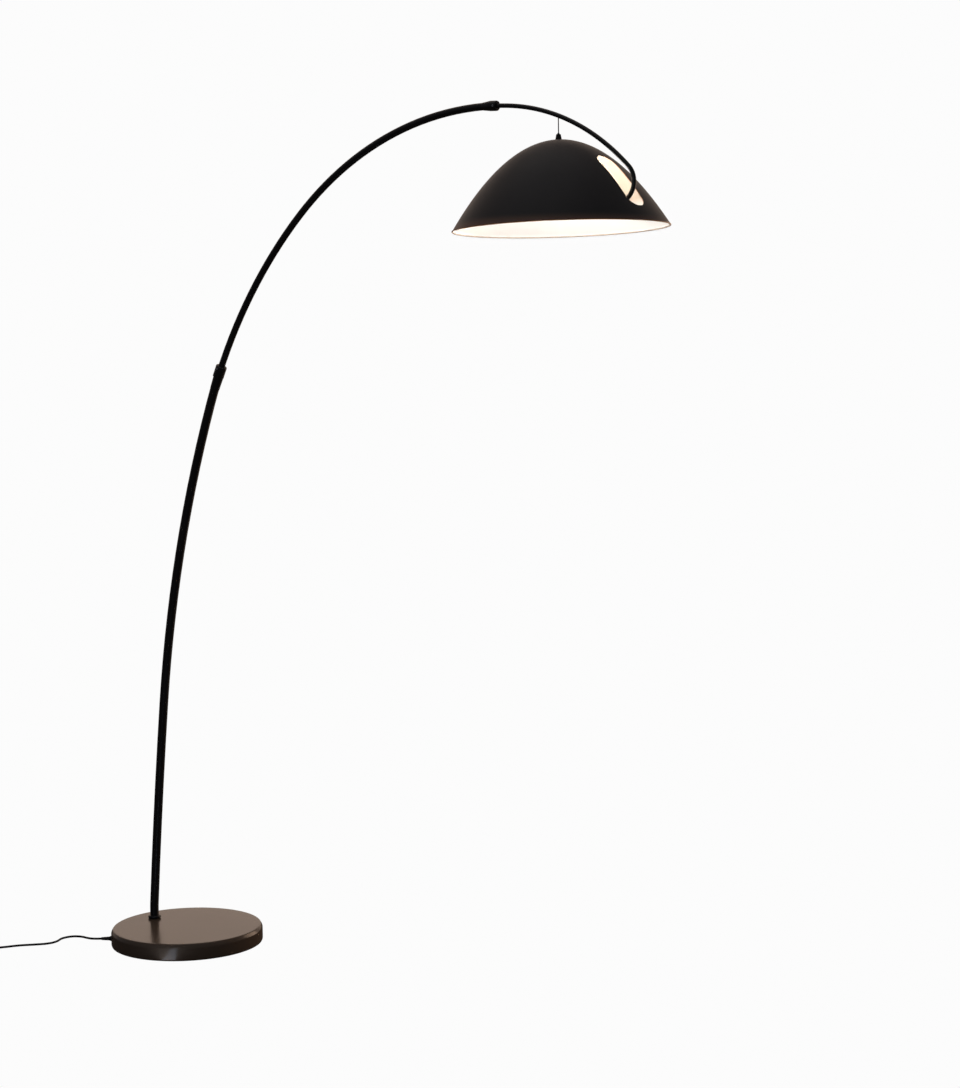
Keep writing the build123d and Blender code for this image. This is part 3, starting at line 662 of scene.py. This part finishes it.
# ---------------------------------------------------------------- shade
SHADE_R, SHADE_T = 212.5, 1.2
SHADE_FLAT_R, SHADE_HOLE_R = 12.0, 5.2
ROLL_R, ROLL_IN = 1.5, 0.1                              # rolled rim, and its shift inwards
SLOT_HALF, SLOT_HALF_WIDTH, SLOT_MID_R = 68.7, 23.5, 152.4
SLOT_ARC_STEPS, SLOT_SIDE_STEPS = 24, 16
SLOT_TURN = Matrix.Rotation(math.radians(-2.1), 3, "Z")
SLOT_SIDE_X = 60.0                                      # the slot lies wholly beyond this
CUT_REACH, CUT_HALVINGS = 60.0, 50                      # search for the slot's edge
SHADE_PLACE = Matrix.Translation((1125.0, 0, 1589.0)) @ Matrix.Rotation(math.radians(-1.3), 4, "Y")
RIM_STEPS, HOLE_STEPS, ROLL_STEPS = 288, 48, 10
ROLL_BLACK, ROLL_GLOWING = 3, 6                         # rim strips before these are black, then coppery painted glow; the rest take the bead's painted shade
NET_FIRST_R, NET_STEP, NET_ALONG = 7.5, 4.5, 5.5        # rings of the net, and points along them
NET_FINE_R = 14.0                                       # the rings are twice as close inside this
NET_CLEAR_RIM, NET_CLEAR_SLOT = 2.0, 3.2
OUTER_END, INNER_END = SHADE_R - 0.75, SHADE_R - 2.05   # where the faces meet the rolled rim


def dome(radius):
    return SHADE_DEPTH * (1 - (max(radius, SHADE_FLAT_R) / SHADE_R) ** 2)


def dome_inner(radius):
    slope = 2 * SHADE_DEPTH * radius / SHADE_R ** 2 if radius > SHADE_FLAT_R else 0.0
    return dome(radius) - SHADE_T * math.sqrt(1 + slope * slope)


def slot_outline():
    """The slot as cut in the flat: straight sides and round ends."""
    straight = SLOT_HALF - SLOT_HALF_WIDTH
    flat = []
    for end in (1, -1):
        for step in range(SLOT_ARC_STEPS + 1):
            arc = math.radians(-90 + 180 * step / SLOT_ARC_STEPS)
            along = straight + SLOT_HALF_WIDTH * math.cos(arc)
            flat.append((end * along, end * SLOT_HALF_WIDTH * math.sin(arc)))
        for step in range(1, SLOT_SIDE_STEPS):
            flat.append((end * straight * (1 - 2 * step / SLOT_SIDE_STEPS), end * SLOT_HALF_WIDTH))
    return flat


def slot_loop(surface):
    """Where the slot's cut, square to the dome at its middle, meets a surface."""
    slope = math.atan(2 * SHADE_DEPTH * SLOT_MID_R / SHADE_R ** 2)
    along = Vector((math.cos(slope), 0, -math.sin(slope)))
    out = Vector((math.sin(slope), 0, math.cos(slope)))
    middle = Vector((SLOT_MID_R, 0, dome(SLOT_MID_R)))
    loop = []
    for u, v in slot_outline():
        foot = middle + along * u + Vector((0, v, 0))
        low, high = -CUT_REACH, CUT_REACH
        for _ in range(CUT_HALVINGS):
            w = (low + high) / 2
            p = foot + out * w
            if p.z > surface(math.hypot(p.x, p.y)):
                high = w
            else:
                low = w
        loop.append(SLOT_TURN @ (foot + out * low))
    return loop


def is_inside(p, loop):
    hit = False
    for a, b in zip(loop, loop[1:] + loop[:1]):
        if (a.y > p.y) != (b.y > p.y):
            if p.x < a.x + (b.x - a.x) * (p.y - a.y) / (b.y - a.y):
                hit = not hit
    return hit


def net_points(outer_radius, slot):
    """Staggered rings of points between the hole and the rim, clear of the slot."""
    points = []
    radius, ring = NET_FIRST_R, 0
    while radius < outer_radius - NET_CLEAR_RIM:
        steps = max(HOLE_STEPS, int(round(math.tau * radius / NET_ALONG)))
        for k in range(steps):
            p = on_circle(radius, math.tau * (k + 0.5 * (ring % 2)) / steps).xy
            if min((p - q).length for q in slot) > NET_CLEAR_SLOT or p.x < SLOT_SIDE_X:
                points.append(p)
        ring += 1
        radius += NET_STEP if radius > NET_FINE_R else NET_STEP / 2
    return points


def dome_sheet(bm, surface, outer_radius, slot_points, index):
    """One face of the shade as a fine triangle net with the slot left open.

    Returns its edges: rim, slot and hole. index is the face's material.
    """
    slot = [p.xy for p in slot_points]
    loops = [
        [on_circle(outer_radius, math.tau * k / RIM_STEPS).xy for k in range(RIM_STEPS)],
        slot,
        [on_circle(SHADE_HOLE_R, math.tau * k / HOLE_STEPS).xy for k in range(HOLE_STEPS)],
    ]
    points, edges = [], []
    for loop in loops:
        start, size = len(points), len(loop)
        points.extend(loop)
        edges.extend((start + k, start + (k + 1) % size) for k in range(size))
    points.extend(net_points(outer_radius, slot))
    verts, _, faces, *_ = geometry.delaunay_2d_cdt(points, edges, [], 0, 1e-5)

    made = {}

    def vertex(k):
        if k not in made:
            p = verts[k]
            made[k] = bm.verts.new((p.x, p.y, surface(p.length)))
        return made[k]

    for face in faces:
        middle = sum((verts[k] for k in face), Vector((0, 0))) / len(face)
        if middle.length < SHADE_HOLE_R * 0.99:
            continue
        if middle.x > SLOT_SIDE_X and is_inside(middle, slot):
            continue
        bm.faces.new([vertex(k) for k in face]).material_index = index
    return [[made[min(made, key=lambda k: (verts[k] - p).length)] for p in loop] for loop in loops]


def make_shade():
    """Spun shade: black outside, white inside, a coppery slot edge and a rolled rim; the coppery
    and beige edge colours are painted light and shade.
    """
    black, white, edge, bead = range(4)
    bm = bmesh.new()
    outer = dome_sheet(bm, dome, OUTER_END, slot_loop(dome), black)
    inner = dome_sheet(bm, dome_inner, INNER_END, slot_loop(dome_inner), white)
    # the rolled rim: an arc round the sheet's edge, from the outer face to the inner one
    centre = SHADE_R - SHADE_T / 2 - ROLL_IN
    first = math.atan2(dome(OUTER_END), OUTER_END - centre)
    last = math.atan2(dome_inner(INNER_END), INNER_END - centre)
    turned = (last - first) % math.tau - math.tau
    loops = [outer[0]]
    for step in range(1, ROLL_STEPS):
        arc = first + turned * step / ROLL_STEPS
        r, z = centre + ROLL_R * math.cos(arc), ROLL_R * math.sin(arc)
        loops.append([
            bm.verts.new(on_circle(r, math.tau * k / RIM_STEPS, z)) for k in range(RIM_STEPS)
        ])
    loops.append(inner[0])
    for number, (one, two) in enumerate(zip(loops, loops[1:])):
        # black outside, then the coppery painted glow, then the bead's beige painted shade
        color = black if number < ROLL_BLACK else edge if number < ROLL_GLOWING else bead
        join_loops(bm, one, two, color)
    # the slot's cut edge: coppery painted glow
    join_loops(bm, outer[1], inner[1], edge)
    join_loops(bm, outer[2], inner[2], black)
    mesh = to_mesh(bm, "shade_shell", TO_METRES @ SHADE_PLACE)
    skins = [SHADE_BLACK, SHADE_INNER_WITH_PAINTED_SHADE, SHADE_EDGE_GLOW, SHADE_BEAD_SHADED]
    shell = piece(mesh, skins, "shade", sharp=50)
    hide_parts("shade")


make_shade()

# ---------------------------------------------------------------- steel wire
WIRE_X = 1121.12
WIRE_LOW, WIRE_HIGH = 1692.2, 1805.2
STRANDS_ROUND, STRAND_R, LAY_R, LAY_PITCH = 6, 0.37, 0.72, 13.0
WIRE_STEPS, STRAND_SIDES = 150, 8


def make_wire():
    """Seven strands: six wound round a straight one."""
    angles = [math.tau * k / STRAND_SIDES for k in range(STRAND_SIDES)]
    section = [(STRAND_R * math.cos(a), STRAND_R * math.sin(a)) for a in angles]
    bm = bmesh.new()
    for strand in range(STRANDS_ROUND + 1):
        reach = LAY_R if strand < STRANDS_ROUND else 0.0
        path = []
        for step in range(WIRE_STEPS + 1):
            z = WIRE_LOW + (WIRE_HIGH - WIRE_LOW) * step / WIRE_STEPS
            angle = math.tau * ((z - WIRE_LOW) / LAY_PITCH + strand / STRANDS_ROUND)
            path.append(Vector((WIRE_X + reach * math.cos(angle), reach * math.sin(angle), z)))
        sweep(bm, path, section, Vector((1, 0, 0)))
    mesh = to_mesh(bm, "steel_wire", TO_METRES)
    wire = piece(mesh, [STRANDS], "wire")
    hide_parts("suspension_wire")


make_wire()

# ---------------------------------------------------------------- lampholder and bulb cap
ARM_END = Vector((1207.53, 0, 1628.906))
ARM_END_WAY = (-1, 0, 0)
RIBS, RIB_DEPTH, RIBBED_POINTS = 40, 0.45, (4, 5)
CAP_LOW, CAP_HIGH, CAP_BORE, CAP_R, CAP_TIP_R = 30.0, 53.0, 12.2, 13.2, 4.6
CAP_RINGS = 70
THREAD_PITCH, THREAD_DEPTH = 3.6, 0.35


def make_skirt():
    """Ribbed skirt of the lampholder."""
    outline = [
        (16.6, 14.0), (18.7, 14.0), (19.0, 14.3), (19.0, 17.0), (19.0, 17.8), (19.0, 39.0),
        (19.0, 39.8), (19.0, 42.0), (18.6, 44.6), (17.9, 45.8), (17.2, 46.0), (16.6, 45.8),
    ]

    def rib(angle, number, radius):
        if number not in RIBBED_POINTS:
            return radius
        return radius - RIB_DEPTH * (0.5 + 0.5 * math.cos(RIBS * angle))

    mesh = lathe_mesh("ribbed_skirt", outline, RIBS * 8, towards(ARM_END, ARM_END_WAY), rib)
    skirt = piece(mesh, [GLOSS_BLACK], "stand")
    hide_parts("holder_skirt")


def make_bulb_cap():
    """Threaded metal cap of the bulb."""
    heights = [CAP_LOW + (CAP_HIGH - CAP_LOW) * k / CAP_RINGS for k in range(CAP_RINGS + 1)]

    def thread(angle, number, radius):
        if number > CAP_RINGS:
            return radius
        phase = math.tau * heights[number] / THREAD_PITCH - angle
        return radius - THREAD_DEPTH * (1 - math.cos(phase))

    outline = [(CAP_R, h) for h in heights]
    outline += [
        (CAP_BORE, CAP_HIGH), (CAP_BORE, CAP_LOW + 0.6),
        (CAP_TIP_R, CAP_LOW - 1.0), (CAP_TIP_R, CAP_LOW - 1.5),
    ]
    mesh = lathe_mesh("screw_cap", outline, 72, towards(ARM_END, ARM_END_WAY), thread)
    cap = piece(mesh, [NICKEL], "stand", sharp=60)
    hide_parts("bulb_cap")


make_skirt()
make_bulb_cap()

# ---------------------------------------------------------------- studio
SEEN_WHITE = (0.973, 0.973, 0.973, 1)   # floor and backdrop as the camera sees them
BACKDROP_WAY = Vector((-0.643, 0.766, 0.24)).normalized()
BACKDROP_STOPS = (                      # from away from the backdrop to straight at it
    (0.0, (0.12, 0.12, 0.13)), (0.45, (0.20, 0.19, 0.20)), (0.80, (0.45, 0.36, 0.31)),
    (0.93, (0.93, 0.72, 0.59)), (1.0, (1.0, 0.78, 0.645)),
)
FLOOR_HALF, FLOOR_CELLS, FLOOR_Z = 9.0, 24, -0.0004


def light_path_mix(tree, unseen, seen):
    """What the camera sees directly, and what everything else is lit by."""
    path, mixed = tree.nodes.new("ShaderNodeLightPath"), tree.nodes.new("ShaderNodeMixShader")
    tree.links.new(path.outputs["Is Camera Ray"], mixed.inputs[0])
    tree.links.new(unseen.outputs[0], mixed.inputs[1])
    tree.links.new(seen.outputs[0], mixed.inputs[2])
    return mixed.outputs[0]


def make_floor():
    m = Nodes("floor_white")
    cloud = m.noise(0.8, detail=2.0)
    m.into("Base Color", m.ramp(cloud, (0.3, (0.10, 0.085, 0.075)), (0.7, (0.12, 0.10, 0.09))))
    m.set(Roughness=0.9, IOR=1.05)
    seen = m.add("ShaderNodeEmission")
    seen.inputs["Color"].default_value = SEEN_WHITE
    m.link(light_path_mix(m.tree, m.shader, seen), m.output.inputs["Surface"])
    bm = bmesh.new()
    bmesh.ops.create_grid(bm, x_segments=FLOOR_CELLS, y_segments=FLOOR_CELLS, size=FLOOR_HALF)
    mesh = bpy.data.meshes.new("floor")
    bm.to_mesh(mesh)
    bm.free()
    mesh.transform(Matrix.Translation((0, 0, FLOOR_Z)))
    mesh.materials.append(m.material)
    floor = bpy.data.objects.new("floor", mesh)
    scene.collection.objects.link(floor)


def make_world():
    """A dim room with a broad, warm lit backdrop behind the lamp; the camera sees plain white."""
    world = bpy.data.worlds.new("studio")
    scene.world = world
    world.use_nodes = True
    tree = world.node_tree
    tree.nodes.clear()
    add, link = tree.nodes.new, tree.links.new
    facing = add("ShaderNodeVectorMath")
    facing.operation = "DOT_PRODUCT"
    facing.inputs[1].default_value = BACKDROP_WAY
    link(add("ShaderNodeTexCoord").outputs["Generated"], facing.inputs[0])
    ramp = add("ShaderNodeValToRGB")
    set_stops(ramp, BACKDROP_STOPS)
    link(facing.outputs["Value"], ramp.inputs["Fac"])
    soft, seen = add("ShaderNodeBackground"), add("ShaderNodeBackground")
    link(ramp.outputs["Color"], soft.inputs["Color"])
    seen.inputs["Color"].default_value = SEEN_WHITE
    out = add("ShaderNodeOutputWorld")
    link(light_path_mix(tree, soft, seen), out.inputs["Surface"])


def area_light(name, place, aim, size, power, color, turn=0.0):
    """A rectangle of light, in metres and watts, unseen by the camera. turn is about Z."""
    light = bpy.data.lights.new(name, "AREA")
    light.shape = "RECTANGLE"
    light.size, light.size_y = size
    light.energy, light.color = power, color
    obj = bpy.data.objects.new(name, light)
    scene.collection.objects.link(obj)
    obj.location = place
    obj.rotation_mode = "QUATERNION"
    spin = Matrix.Rotation(math.radians(turn), 3, "Z").to_quaternion()
    obj.rotation_quaternion = spin @ (Vector(aim) - Vector(place)).to_track_quat("-Z", "Y")
    obj.visible_camera = False


make_floor()
make_world()
area_light(
    "soft_top", place=(0.6, -0.4, 4.2), aim=(0.5, 0, 0), size=(2.6, 2.6),
    power=14, color=(1.0, 0.98, 0.95),
)
area_light(     # on the floor in front of the base: the upright streak on its side
    "floor_glint", place=(0.355, -0.548, 0.002), aim=(0.355, -0.548, 1.0), size=(0.034, 0.95),
    power=0.36, color=(0.68, 0.80, 1.0), turn=32.9,
)
area_light(
    "cool_strip", place=(2.1, -4.0, 1.6), aim=(0.2, 0, 1.0), size=(0.30, 2.2),
    power=14, color=(0.74, 0.84, 1.0),
)
area_light(
    "warm_side", place=(1.1, 3.3, 0.9), aim=(0.0, 0, 0.7), size=(1.6, 2.0),
    power=42, color=(1.0, 0.70, 0.50),
)
